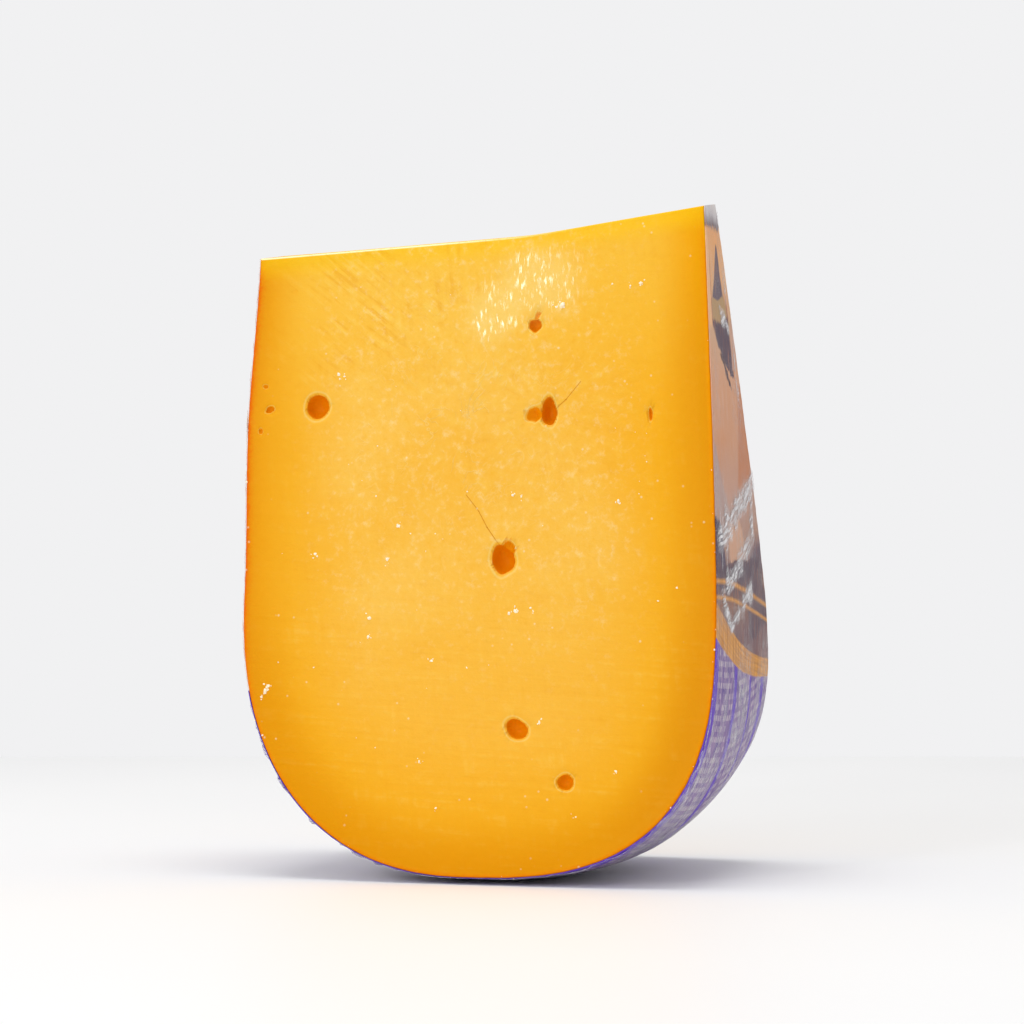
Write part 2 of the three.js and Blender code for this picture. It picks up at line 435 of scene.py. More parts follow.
def cut_face(angle, eyes, lobes, seed, outward):
    """One cut face: its grid drawn together at the eyes and sunk by the relief. The relief fades
    out at the border, where the rounded edge begins."""
    section = draw_together(face_section(angle, EDGE_ROUND), eyes)
    depth, nearest = cut_relief(section, eyes + lobes, seed)
    flat = section.reshape(-1, 2)
    rind = path_distance(flat, OUTLINE).reshape(depth.shape)
    below_tip = (section[..., 1] - tip_radius(section[..., 0], angle)) * math.cos(angle)
    fade = smooth_step(EDGE_ROUND, EDGE_ROUND + 3, np.minimum(rind, below_tip))
    points = place(section, angle) - (depth * np.maximum(fade, nearest < 1))[..., None] * outward
    return points, rind, below_tip, nearest


def perimeter(index):
    return np.concatenate([index[:-1, 0], index[-1, :-1], index[:0:-1, -1], index[0, :0:-1]])


def make_cheese(material):
    """Front and rear cut faces, joined by rows that turn round each edge and then follow the skin
    and the tip cut from one half-plane to the next."""
    front_out = np.array([0, -math.cos(FRONT), math.sin(FRONT)])
    rear_out = np.array([0, math.cos(REAR), -math.sin(REAR)])
    front = cut_face(FRONT, FRONT_EYES, FRONT_LOBES, 3, front_out)
    rear = cut_face(REAR, REAR_EYES, REAR_LOBES, 41, rear_out)
    shape = front[0].shape[:2]
    front_index = np.arange(shape[0] * shape[1]).reshape(shape)
    rear_index = front_index + front_index.size
    points = [front[0].reshape(-1, 3), rear[0].reshape(-1, 3)]
    rind = [front[1].ravel(), rear[1].ravel()]
    tip = [front[2].ravel(), rear[2].ravel()]
    eye = [front[3].ravel(), rear[3].ravel()]

    rows = [(FRONT, turn, front_out) for turn in np.linspace(0, 1, ROUND_ROWS + 1)[1:]]
    between = np.linspace(FRONT - FIRST_ROW, REAR + FIRST_ROW, SKIN_ROWS)
    rows += [(angle, 1, None) for angle in between]
    rows += [(REAR, turn, rear_out) for turn in np.linspace(1, 0, ROUND_ROWS + 1)[:-1]]
    loops = [perimeter(front_index)]
    count = 2 * front_index.size
    for angle, turn, outward in rows:
        quarter = turn * math.pi / 2
        rough = 0 if outward is not None else SKIN_ROUGH
        section = join_loop(*section_loop(angle, EDGE_ROUND * (1 - math.sin(quarter)), rough))
        placed = place(section, angle)
        on_tip = np.arange(len(section)) < FACE_COLUMNS + 1
        if outward is not None:
            placed -= EDGE_ROUND * (1 - math.cos(quarter)) * outward
        points.append(placed)
        bare = 0 if outward is not None else SKIN_MARK
        rind.append(np.where(on_tip, path_distance(section, OUTLINE), bare))
        from_edge = np.minimum(FRONT - angle, angle - REAR) * section[:, 1]
        tip.append(np.where(on_tip, from_edge, section[:, 1] * math.cos(angle) - TIP_FROM_AXIS))
        eye.append(np.full(len(section), NO_EYE))
        loops.append(np.arange(count, count + len(section)))
        count += len(section)
    loops.append(perimeter(rear_index))
    band = np.stack([np.append(loop, loop[0]) for loop in loops])
    faces = np.concatenate([
        grid_faces(front_index, flip=True),
        grid_faces(rear_index),
        grid_faces(band, flip=True),
    ])
    joined = np.concatenate(points)
    values = {"rind": np.concatenate(rind), "tip": np.concatenate(tip), "eye": np.concatenate(eye)}
    make_piece("cheese_wedge", press_flat(joined), faces, material, "cheese", values)


# ---- Label and film ---------------------------------------------------------------------------

# Folds in the film: section points as (radius, bearing in degrees) on the label side, then the
# half width of the crumpled band and its height.
FILM_FOLDS = [
    ([(94.5, -16), (96, -12), (99, -5), (102, 0), (106, 6)], 3.2, 0.4),
    ([(100, -13.5), (107, -12.5), (112.8, -3), (115.7, 2.5)], 2.2, 0.35),
    ([(118.5, 5.5), (122, 3.5), (125.5, 1), (123.4, -2), (119.4, -9.5)], 1.8, 0.35),
    ([(52.5, -6), (56.8, -11.5)], 1.9, 0.3),
]


def label_side(radius, bearing):
    """The point of the film on the label side at a radius and a bearing in degrees."""
    run = np.interp(-radius, -PROFILE[LABEL_SIDE, 1], RUN[LABEL_SIDE])
    return place(skin_section(run, FILM_OUTER), math.radians(bearing))


def sheet_grid(step, start_run, edge):
    """Runs and angles of a sheet's grid, and the radius there. start_run gives where it begins at
    each angle, or None to begin at the plain side's tip cut. edge is how far the borders at the
    cuts stand out, in millimetres."""
    angles = np.linspace(REAR, FRONT, int(WHEEL_RADIUS * (FRONT - REAR) / step))
    tips = np.array([tip_runs(angle, FILM_OUTER) for angle in angles])
    first = tips[:, 0] if start_run is None else start_run(angles)
    share = np.linspace(0, 1, int((tips[-1, 1] - first[-1]) / step))[:, None]
    run = first + (tips[:, 1] - first) * share
    radius = skin_section(run, 0)[..., 1]
    t = (angles - REAR) / (FRONT - REAR)
    push = (t**12 - (1 - t) ** 12) * edge(run)
    return run, angles + push / radius, radius


def sheet_points(run, angle, offset, lift=0):
    """The skin at runs and angles moved out by an offset and a lift, and pressed flat. The lift
    fades out towards the floor."""
    base = place(skin_section(run, offset), angle)
    fade = smooth_step(0.4, 5, base[..., 2] - FLOOR_Z)
    return press_flat(place(skin_section(run, offset + lift * fade), angle), offset)


def make_label(material):
    """The printed label: a closed sheet that follows the skin from its ragged edge on the plain
    side's shoulder, over the rim, to the tip cut, with soft pleats where it goes round the rim."""
    def ragged(angle):
        return RUN_LABEL_EDGE + 1.1 * layered_noise(angle * 60, angle * 0, 5, 4)

    def cut(run):
        return 0.14 * layered_noise(run / 1.7, run * 0, 6, 3) - 0.1

    run, angle, radius = sheet_grid(LABEL_STEP, ragged, cut)
    around = angle * radius
    bend = smooth_step(118, 150, radius)
    pleats = 0.11 * bend * np.abs(lattice_noise(around / 2.6, run / 26, 21))
    waves = 0.05 * layered_noise(around / 9, run / 14, 22, 2) + 0.05
    outer = sheet_points(run, angle, LABEL_OUTER, pleats + waves)
    points, faces = closed_sheet(sheet_points(run, angle, LABEL_INNER), outer)
    values = {
        "run": np.tile(run.ravel(), 2),
        "radius": np.tile(radius.ravel(), 2),
        "bearing": np.tile(np.degrees(angle).ravel(), 2),
    }
    make_piece("wedge_label", points, faces, material, "label", values, sharp=50)


def make_film(material):
    """The clear film: a closed sheet over the whole skin, with long ridges along the wheel's
    section, crumpled bands along its folds, and an edge torn at both cuts and frayed at the front
    one, round the rim."""
    def torn(run):
        tear = layered_noise(run / 2.3, run * 0, 31, 4)
        return 0.18 * tear - 0.1 + 1.2 * smooth_step(0.55, 1.1, tear) * (np.abs(run) < 45)

    run, angle, radius = sheet_grid(FILM_STEP, None, torn)
    around = angle * radius
    base = place(skin_section(run, FILM_OUTER), angle)
    drift = 0.5 * lattice_noise(run / 22, around / 9, 44)
    ridge = 1 - np.abs(lattice_noise(around / 3.4 + drift, run / 42, 45))
    fine = 1 - np.abs(lattice_noise(around / 1.5, run / 11, 46))
    patch = smooth_step(-0.1, 0.5, layered_noise(around / 19, run / 30, 47, 2))
    crease = patch * (0.55 * ridge**7 + 0.3 * fine**6)
    lift = patch * (0.14 * ridge**4 + 0.06 * fine**4)
    for number, (path, half_width, height) in enumerate(FILM_FOLDS):
        line = np.array([label_side(*point) for point in path])
        away = path_distance(base.reshape(-1, 3), line).reshape(run.shape)
        away = np.abs(away + 1.3 * layered_noise(around / 3.6, run / 2.8, 50 + number, 2))
        near = np.exp(-((away / half_width) ** 2))
        crumple = 1 - np.abs(lattice_noise((around + run) / 1.3, around / 2.9, 60 + number))
        lift += height * near * (0.35 + 0.65 * crumple)
        crease += near * (0.6 + 0.4 * crumple)
    frayed = smooth_step(FRONT - 2.2 / WHEEL_RADIUS, FRONT, angle) * smooth_step(78, 66, np.abs(run))
    frayed *= smooth_step(-0.3, 0.5, layered_noise(run / 2.4, run * 0, 33, 3))
    crease += frayed
    lift += 0.5 * frayed
    outer = sheet_points(run, angle, FILM_OUTER, lift)
    points, faces = closed_sheet(sheet_points(run, angle, FILM_INNER, lift), outer)
    # The crease values set where the film's material paints highlights along its folds.
    values = {
        "crease": np.tile(np.clip(crease, 0, 1).ravel(), 2),
        "run": np.tile(run.ravel(), 2),
        "around": np.tile(around.ravel(), 2),
    }
    make_piece("wedge_film", points, faces, material, "film", values, sharp=60)


# ---- Crystals and crumbs ------------------------------------------------------------------------

# White crystals of the front cut: across, distance from the axis, half size.
BIG_CRYSTALS = [
    (37.0, 46.0, 0.55), (34.6, 46.6, 0.3), (-40.0, 109.9, 0.5), (-22.1, 111.0, 0.5),
    (-19.7, 103.2, 0.5), (7.9, 95.9, 0.45), (10.0, 96.2, 0.35), (9.7, 123.1, 0.6),
    (8.2, 123.6, 0.4), (13.3, 122.3, 0.45), (-10.2, 135.0, 0.5), (-25.9, 125.0, 0.5),
    (-26.0, 129.5, 0.4), (33.5, 97.5, 0.5), (16.5, 149.0, 0.45), (-51.0, 142.5, 0.8),
    (-50.2, 141.3, 0.6), (-51.9, 144.0, 0.45), (-36.2, 66.8, 0.55), (-34.8, 67.3, 0.35),
    (18.2, 51.0, 0.6), (16.9, 51.4, 0.4), (-12.2, 158.5, 0.35), (35.0, 160.0, 0.35),
    (26.0, 170.5, 0.35),
]
FINE_CRYSTALS = 110
EDGE_CRUMBS = 44
LUMP_RINGS = 3
LUMP_TURNS = 8


def lumps(centres, sizes, rng):
    """Small irregular lumps: each is a sphere of rings and turns between two poles, whose radius
    varies at random, stretched differently along each axis."""
    polar = np.linspace(0, np.pi, LUMP_RINGS + 2)[1:-1, None]
    around = np.linspace(0, 2 * np.pi, LUMP_TURNS, endpoint=False)[None]
    ring = np.stack([np.sin(polar) * np.cos(around), np.sin(polar) * np.sin(around)], -1)
    rings = np.concatenate([ring, np.cos(polar)[..., None] + 0 * ring[..., :1]], -1).reshape(-1, 3)
    sphere = np.concatenate([rings, [[0, 0, 1], [0, 0, -1]]])
    radius = rng.uniform(0.62, 1.15, (len(centres), len(sphere), 1))
    stretch = rng.uniform(0.55, 1.1, (len(centres), 1, 3))
    points = centres[:, None] + sizes[:, None, None] * sphere * radius * stretch
    index = np.arange(len(rings)).reshape(LUMP_RINGS, LUMP_TURNS)
    index = np.concatenate([index, index[:, :1]], 1)
    quads = grid_faces(index)
    top, bottom = len(rings), len(rings) + 1
    caps = np.concatenate([
        np.stack([0 * index[0, 1:] + top, index[0, :-1], index[0, 1:]], -1),
        np.stack([0 * index[0, 1:] + bottom, index[-1, 1:], index[-1, :-1]], -1),
    ])
    triangles = np.concatenate([quads[:, :3], quads[:, [0, 2, 3]], caps])
    faces = triangles + len(sphere) * np.arange(len(centres))[:, None, None]
    return points.reshape(-1, 3), faces.reshape(-1, 3)


def scatter(seed, extra, rng):
    """Places on a cut for crystals, thicker where a slow noise is high, and their half sizes. The
    big ones have three small ones beside them."""
    beside = np.repeat(extra, 3, axis=0) * (1, 1, 0.6)
    beside[:, :2] += rng.normal(0, 0.55, (len(beside), 2))
    extra = np.concatenate([extra * (1, 1, 1.4), beside])
    across = rng.uniform(-52, 50, FINE_CRYSTALS)
    radius = rng.uniform(42, 172, FINE_CRYSTALS)
    crowd = layered_noise(across / 20, radius / 25, seed + 90, 2)
    kept = rng.uniform(-0.6, 0.9, FINE_CRYSTALS) < crowd
    section = np.concatenate([extra[:, :2], np.stack([across, radius], -1)[kept]])
    size = np.concatenate([extra[:, 2], 0.16 + 0.26 * rng.uniform(0, 1, kept.sum()) ** 2])
    half = np.interp(section[:, 1], PROFILE[PLAIN_SIDE, 1], -PROFILE[PLAIN_SIDE, 0])
    inside = np.abs(section[:, 0]) < half - 1.5
    return section[inside], size[inside]


def make_crystals(material):
    """Crystals on both cuts, sunk by a third of their size, and crumbs along the front edge."""
    rng = np.random.default_rng(12)
    places, sizes = [], []
    for angle, seed, eyes, extra in (
        (FRONT, 3, FRONT_EYES + FRONT_LOBES, np.array(BIG_CRYSTALS)),
        (REAR, 41, REAR_EYES + REAR_LOBES, np.zeros((0, 3))),
    ):
        section, size = scatter(seed, extra, rng)
        depth, nearest = cut_relief(section, eyes, seed)
        section, size, depth = section[nearest > 1.2], size[nearest > 1.2], depth[nearest > 1.2]
        sign = np.sign(angle)
        outward = np.array([0, -sign * math.cos(angle), sign * math.sin(angle)])
        places.append(place(section, angle) - (depth + 0.35 * size)[:, None] * outward)
        sizes.append(size)
    run = rng.uniform(RUN[0] + 40, RUN[-1] - 40, EDGE_CRUMBS)
    places.append(place(skin_section(run, rng.uniform(-0.5, 0.35, EDGE_CRUMBS)), FRONT))
    sizes.append(0.06 + 0.26 * rng.uniform(0, 1, EDGE_CRUMBS) ** 5)
    points, faces = lumps(np.concatenate(places), np.concatenate(sizes), rng)
    points[:, 2] = np.maximum(points[:, 2], FLOOR_Z + 0.05)
    make_piece("cheese_crystals", points, faces, material, "cheese", sharp=0)


# ---- Shader building ----------------------------------------------------------------------------


def tone(red, green, blue, gain=1.0):
    """A colour from display values of 0 to 255, in linear light, scaled by a gain."""
    share = np.array([red, green, blue]) / 255
    linear = np.where(share <= 0.04045, share / 12.92, ((share + 0.055) / 1.055) ** 2.4)
    return (*(linear * gain).tolist(), 1.0)


def fill(node, inputs):
    """Sets a node's inputs to values, or links them to wires."""
    for name, value in inputs.items():
        if isinstance(value, Wire):
            node.id_data.links.new(value.socket, node.inputs[name])
        else:
            node.inputs[name].default_value = value


class Wire:
    """An output socket. Arithmetic on wires adds Math nodes, and node() adds any other one."""

    def __init__(self, socket):
        self.socket = socket

    def node(self, kind, inputs, output=0, stops=(), **settings):
        """A new node of a kind: its settings and ramp stops first, then its inputs."""
        made = self.socket.id_data.nodes.new("ShaderNode" + kind)
        for name, value in settings.items():
            setattr(made, name, value)
        for number, (position, colour) in enumerate(stops):
            points = made.color_ramp.elements
            point = points[number] if number < 2 else points.new(position)
            point.position, point.color = position, colour
        fill(made, inputs)
        return Wire(made.outputs[output])

    def outputs(self):
        return [Wire(socket) for socket in self.socket.node.outputs]

    def math(self, operation, *values):
        return self.node("Math", dict(enumerate(values)), operation=operation)

    def __add__(self, other):
        return self.math("ADD", self, other)

    __radd__ = __add__

    def __sub__(self, other):
        return self.math("SUBTRACT", self, other)

    def __rsub__(self, other):
        return self.math("SUBTRACT", other, self)

    def __mul__(self, other):
        return self.math("MULTIPLY", self, other)

    __rmul__ = __mul__

    def __truediv__(self, other):
        return self.math("DIVIDE", self, other)

    def __pow__(self, other):
        return self.math("POWER", self, other)

    def __abs__(self):
        return self.math("ABSOLUTE", self)

    def step(self, low, high):
        """0 at low, 1 at high, and a smooth turn between them; high may be below low."""
        falling = low > high
        ends = {1: min(low, high), 2: max(low, high), 3: float(falling), 4: float(not falling)}
        return self.node("MapRange", {0: self, **ends}, interpolation_type="SMOOTHSTEP")

    def bell(self, middle, half_width):
        """1 at the middle, falling to 0 at half_width from it."""
        return abs(self - middle).step(half_width, 0)

    def ramp(self, stops, reach):
        """A colour ramp whose stops are given in the wire's own units, from 0 to reach."""
        spaced = [(place / reach, colour) for place, colour in stops]
        return self.node("ValToRGB", {0: self / reach}, stops=spaced)

    def mix(self, low, high):
        """Two colours, mixed by this wire."""
        return self.node("Mix", {0: self, 6: low, 7: high}, 2, data_type="RGBA")

    def noise(self, detail=2.0, roughness=0.5, distortion=0.0):
        """Noise of this vector in unit cells, from about 0.2 to 0.8."""
        inputs = {"Vector": self, "Scale": 1.0, "Detail": detail}
        return self.node("TexNoise", {**inputs, "Roughness": roughness, "Distortion": distortion})

    def times(self, *scale):
        return self.node("VectorMath", {0: self, 1: scale}, operation="MULTIPLY")

    def named(self, attribute):
        """The value of one of the mesh's own attributes."""
        return self.node("Attribute", {}, 2, attribute_name=attribute)

    def vector(self, x, y, z=0.0):
        return self.node("CombineXYZ", {0: x, 1: y, 2: z})

    def bump(self, height):
        """A normal bent by a height in millimetres."""
        return self.node("Bump", {"Height": height, "Distance": MM, "Strength": 1.0})


def new_material(name):
    """A material, its Principled shader, and a wire with the place on the object in millimetres."""
    material = bpy.data.materials.new(name)
    material.use_nodes = True
    nodes = material.node_tree.nodes
    place_out = Wire(nodes.new("ShaderNodeTexCoord").outputs["Object"])
    return material, nodes["Principled BSDF"], place_out.times(1 / MM, 1 / MM, 1 / MM)


# ---- Materials ----------------------------------------------------------------------------------

PASTE_GAIN = 0.885
PASTE_BY_DEPTH = [
    (0.0, (236, 106, 0)), (0.5, (236, 118, 0)), (1.0, (237, 142, 2)), (2.0, (238, 158, 14)),
    (4.3, (242, 166, 20)), (6.5, (244, 171, 26)), (12.0, (248, 179, 36)), (20.0, (250, 183, 46)),
    (34.0, (251, 186, 56)),
]
# Fine cracks that run out from two gas holes: both ends and the half width.
CRACKS = [
    ((-3.4, 90.0), (-0.2, 86.2), 0.14),
    ((-0.2, 86.2), (2.0, 82.4), 0.17),
    ((2.0, 82.4), (5.0, 78.4), 0.2),
    ((17.0, 109.6), (20.0, 112.2), 0.2),
    ((20.0, 112.2), (23.4, 116.4), 0.15),
]


def streaks(x, z, turn, width, length, seed):
    """Fine parallel streaks at an angle in degrees, from -1 to 1."""
    cos, sin = math.cos(math.radians(turn)), math.sin(math.radians(turn))
    over = (x * cos + z * sin) / width
    along = (z * cos - x * sin) / length
    return (over.vector(over, along, seed).noise(3, 0.6) - 0.5) * 2


def scratch(x, z, start, end, half_width):
    """1 on the line from start to end, falling to 0 at half_width from it. Points are (x, z)."""
    dx, dz = end[0] - start[0], end[1] - start[1]
    length = math.hypot(dx, dz)
    along = ((x - start[0]) * dx + (z - start[1]) * dz) / length
    beyond = along - along.math("MINIMUM", along.math("MAXIMUM", along, 0.0), length)
    off = ((x - start[0]) * dz - (z - start[1]) * dx) / length
    return (off * off + beyond * beyond).math("SQRT", off * off + beyond * beyond).step(half_width, 0)


def paste_material():
    """The cheese: paste that deepens to orange under the rind, with knife streaks on the cuts,
    painted shade in the gas holes with a painted highlight round their mouths, painted shade
    in the cracks and towards the bottom, painted light towards the top, a painted highlight
    along the top edge, fine white specks, and one oily patch of paler fat with a painted
    highlight."""
    material, shader, mm = new_material("aged_paste")
    x, y, z = mm.node("SeparateXYZ", {0: mm}).outputs()
    rind, tip, eye = mm.named("rind"), mm.named("tip"), mm.named("eye")
    front = y.step(3, -3)
    cut = rind.step(-1.5, -0.3)

    ragged = (mm.times(0.9, 0.9, 0.9).noise(3, 0.7) - 0.5) * 1.7
    colour = (rind + ragged).ramp([(d, tone(*c, PASTE_GAIN)) for d, c in PASTE_BY_DEPTH], 34.0)
    clouds = mm.times(1 / 34, 1 / 34, 1 / 34).noise(3, 0.5)
    pale = 0.25 + 0.5 * clouds.step(0.4, 0.7)
    colour = (pale * z.step(15, 75) * rind.step(10, 30)).mix(colour, tone(254, 202, 90, PASTE_GAIN))
    corner = (x + z * 0.6).step(60, 130)
    colour = (corner * 0.6).mix(colour, tone(252, 176, 0, PASTE_GAIN))
    # Painted shade: deeper, darker orange towards the bottom, most near the rind at the corners.
    low_shade = z.step(74, 26)
    shoulder = rind.step(16, 2) * rind.step(0.3, 1.4)
    colour = (low_shade * shoulder * 0.85).mix(colour, tone(222, 139, 2, PASTE_GAIN))
    colour = (low_shade * rind.step(34, 8) * 0.4).mix(colour, tone(245, 170, 0, PASTE_GAIN))
    # Painted light: paler towards the top.
    top_light = z.step(100, 150) * rind.step(2, 14)
    colour = (top_light * 0.55).mix(colour, tone(255, 205, 74, PASTE_GAIN))
    right = x.step(26, 50) * z.step(152, 118) * rind.step(15, 1.5) * rind.step(0.4, 1.3)
    colour = (right * 0.5).mix(colour, tone(226, 146, 14, PASTE_GAIN))
    colour = (tip.step(7, 0.5) * 0.65).mix(colour, tone(255, 200, 14, PASTE_GAIN))
    # Painted highlight: a near-white line along the rounded top edge, on its left part.
    colour = (tip.step(0.5, 0.2) * x.step(26, -20)).mix(colour, tone(255, 246, 190))

    clumps = 0.35 + 1.3 * mm.times(0.07, 0.07, 0.07).noise(2).step(0.4, 0.62)
    diagonal = streaks(x, z, 52, 1.5, 20, 3.0) * x.bell(-30, 34) * z.bell(136, 38) * clumps
    upright = streaks(x, z, 8, 1.9, 24, 7.0) * (0.25 + x.bell(-4, 34) * z.bell(140, 36)) * clumps
    level = streaks(x, z, 87, 1.4, 34, 11.0) * (0.35 + 0.65 * z.step(95, 45))
    fan_x, fan_z = x - 15.9, z - 109.4
    turn = fan_z.math("ARCTAN2", fan_z, fan_x)
    away = (fan_x * fan_x + fan_z * fan_z) ** 0.5
    fan = (mm.vector(turn * 5.0, away / 16, 5.0).noise(3, 0.6) - 0.5) * 2
    fan = fan * away.step(4, 9) * away.step(30, 14) * front
    coarse = (mm.times(0.16, 0.16, 0.3).noise(3, 0.55, 0.6) - 0.5) * 2
    grain = (mm.times(0.6, 0.6, 0.6).noise(4, 0.62) - 0.5) * 2
    swirls = mm.times(0.1, 0.1, 0.1).noise(2, 0.5, 2.5)
    swirls = (1 - abs((swirls - 0.5) * 2)).step(0.95, 1.0) * x.bell(-6, 44) * z.bell(106, 44)
    swirls = swirls * mm.times(0.16, 0.16, 0.16).noise(2, 0.5).step(0.46, 0.6)
    relief = 0.045 * diagonal + 0.035 * upright + 0.03 * level + 0.04 * fan + 0.05 * grain
    relief = relief + 0.06 * swirls
    shade = 2.8 * diagonal + 1.7 * upright + 0.8 * level + 1.3 * fan + 0.6 * coarse + 0.5 * grain
    light, dark = tone(255, 212, 96, PASTE_GAIN), tone(236, 156, 6, PASTE_GAIN)
    colour = (shade.step(0.0, 1.0) * (0.1 + 0.34 * rind.step(1, 20))).mix(colour, light)
    colour = (shade.step(0.0, -1.0) * 0.34).mix(colour, dark)
    colour = (swirls * 0.36).mix(colour, tone(255, 226, 150, PASTE_GAIN))
    mottle = (mm.times(0.5, 0.5, 0.5).noise(4, 0.68) - 0.5) * 2
    mottle = mottle * rind.step(2, 30) * (0.3 + 0.7 * z.step(30, 85))
    colour = (mottle.step(0.0, 0.6) * 0.42).mix(colour, tone(255, 234, 176, PASTE_GAIN))
    colour = (mottle.step(0.0, -0.6) * 0.42).mix(colour, tone(250, 178, 24, PASTE_GAIN))

    # Painted shade in the fine cracks: a darker orange line over a shallow bump groove.
    cracks = sum(scratch(x, z, *crack) for crack in CRACKS) * front
    colour = (cracks * 0.7).mix(colour, tone(222, 126, 0, PASTE_GAIN))
    # Gas holes: painted shade inside, a yellow band at the mouth, a painted highlight round it.
    colour = (eye.step(1.04, 0.97)).mix(colour, tone(246, 148, 2, PASTE_GAIN))
    colour = (eye.bell(1.09, 0.09) * 0.6).mix(colour, tone(252, 178, 40, PASTE_GAIN))
    colour = (eye.bell(1.26, 0.15) * 0.3).mix(colour, tone(255, 234, 150, PASTE_GAIN))

    specks = mm.node("TexVoronoi", {"Vector": mm, "Scale": 0.35}, 0, feature="F1")
    chosen = mm.times(0.09, 0.09, 0.09).noise(2).step(0.54, 0.62)
    specks = specks.step(0.14, 0.05) * chosen
    colour = (specks * 0.5 * cut).mix(colour, tone(255, 236, 190, PASTE_GAIN))

    # Oily patch: paler fat and a painted highlight, with near-white streaks of painted highlight.
    oily_smear_and_glint = (x.bell(12.4, 17) * z.bell(140, 14) + x.bell(1, 10) * z.bell(132, 11)) * front
    oily_smear_and_glint = oily_smear_and_glint.step(0.05, 0.9)
    gaps = mm.times(0.28, 0.28, 0.28).noise(2).step(0.4, 0.56)
    glint_patches = streaks(x, z, 2, 0.75, 3.0, 19.0).step(0.0, 0.5) * gaps
    colour = (oily_smear_and_glint * 0.5).mix(colour, tone(255, 222, 130, PASTE_GAIN))
    colour = (oily_smear_and_glint * glint_patches * 0.55).mix(colour, tone(255, 250, 215))

    skin = mm.times(0.12, 0.12, 0.12).noise(4, 0.6).mix(tone(226, 138, 30), tone(240, 170, 62))
    colour = cut.mix(skin, colour)

    height = relief - 0.08 * cracks + 0.02 * specks
    fill(shader, {
        "Base Color": colour,
        "Roughness": 0.45,
        "Specular IOR Level": 0.04,
        "Subsurface Weight": 0.05,
        "Subsurface Radius": (1.0, 0.5, 0.1),
        "Subsurface Scale": 0.002,
        "Coat Weight": oily_smear_and_glint * glint_patches,
        "Coat Roughness": 0.18,
        "Normal": mm.bump(height),
    })
    return material


def crystal_material():
    """Cream-white crystals, slightly mottled."""
    material, shader, mm = new_material("white_crystals")
    colour = mm.times(1.5, 1.5, 1.5).noise().mix(tone(255, 226, 170), tone(255, 250, 236))
    fill(shader, {"Base Color": colour, "Roughness": 0.55})
    return material


# Tones of the label from the tip cut outwards, by radius.
LABEL_GAIN = 1.12
LABEL_BY_RADIUS = [
    (27.0, (214, 208, 206)), (29.5, (196, 190, 192)), (31.4, (150, 140, 144)),
    (32.2, (118, 106, 112)), (33.2, (226, 166, 112)), (44.0, (222, 170, 122)),
    (58.0, (206, 166, 134)), (67.0, (210, 158, 124)), (82.0, (204, 150, 116)),
    (97.0, (188, 150, 134)), (107.0, (172, 136, 120)), (112.0, (104, 86, 98)),
    (116.0, (98, 80, 90)), (121.0, (140, 104, 90)), (128.0, (120, 94, 98)),
    (140.0, (128, 100, 100)),
]
# Tapered shapes printed over them: radius where each begins and ends, bearings and half widths
# there in degrees, colour, strength.
LABEL_SHAPES = [
    (36.0, 51.0, -8.0, -3.0, 0.8, 7.0, (108, 94, 104), 1.0),
    (49.5, 56.0, -3.5, -5.0, 8.0, 8.5, (178, 146, 106), 1.0),
    (54.5, 69.0, -4.0, -11.5, 9.0, 1.0, (94, 80, 92), 1.0),
    (56.0, 67.0, -15.5, -15.0, 1.5, 3.5, (198, 158, 140), 0.85),
    (62.0, 71.0, -3.0, -9.0, 1.2, 0.4, (74, 58, 70), 0.9),
    (72.0, 94.0, -16.0, -13.0, 2.0, 6.0, (188, 118, 76), 0.75),
    (80.0, 106.0, 9.0, 4.0, 0.5, 8.0, (176, 152, 146), 0.75),
    (102.0, 116.5, 7.5, 6.5, 3.0, 5.5, (86, 74, 92), 1.0),
    (101.5, 111.5, -3.0, -4.5, 3.5, 5.0, (206, 162, 134), 0.9),
    (110.5, 116.0, 0.0, -6.0, 9.0, 12.0, (92, 76, 88), 0.9),
    (117.0, 131.0, -11.0, -13.0, 4.0, 5.0, (96, 80, 92), 0.8),
]
# Stripes of the purple border: bearing at the middle of the rim, half width, both in degrees.
BORDER_STRIPES = [(7.4, 1.5), (-1.2, 0.95), (-8.0, 0.5), (-13.6, 1.1)]
ROW_SPACING = 2.5
BLOCK_SPACING = 1.9


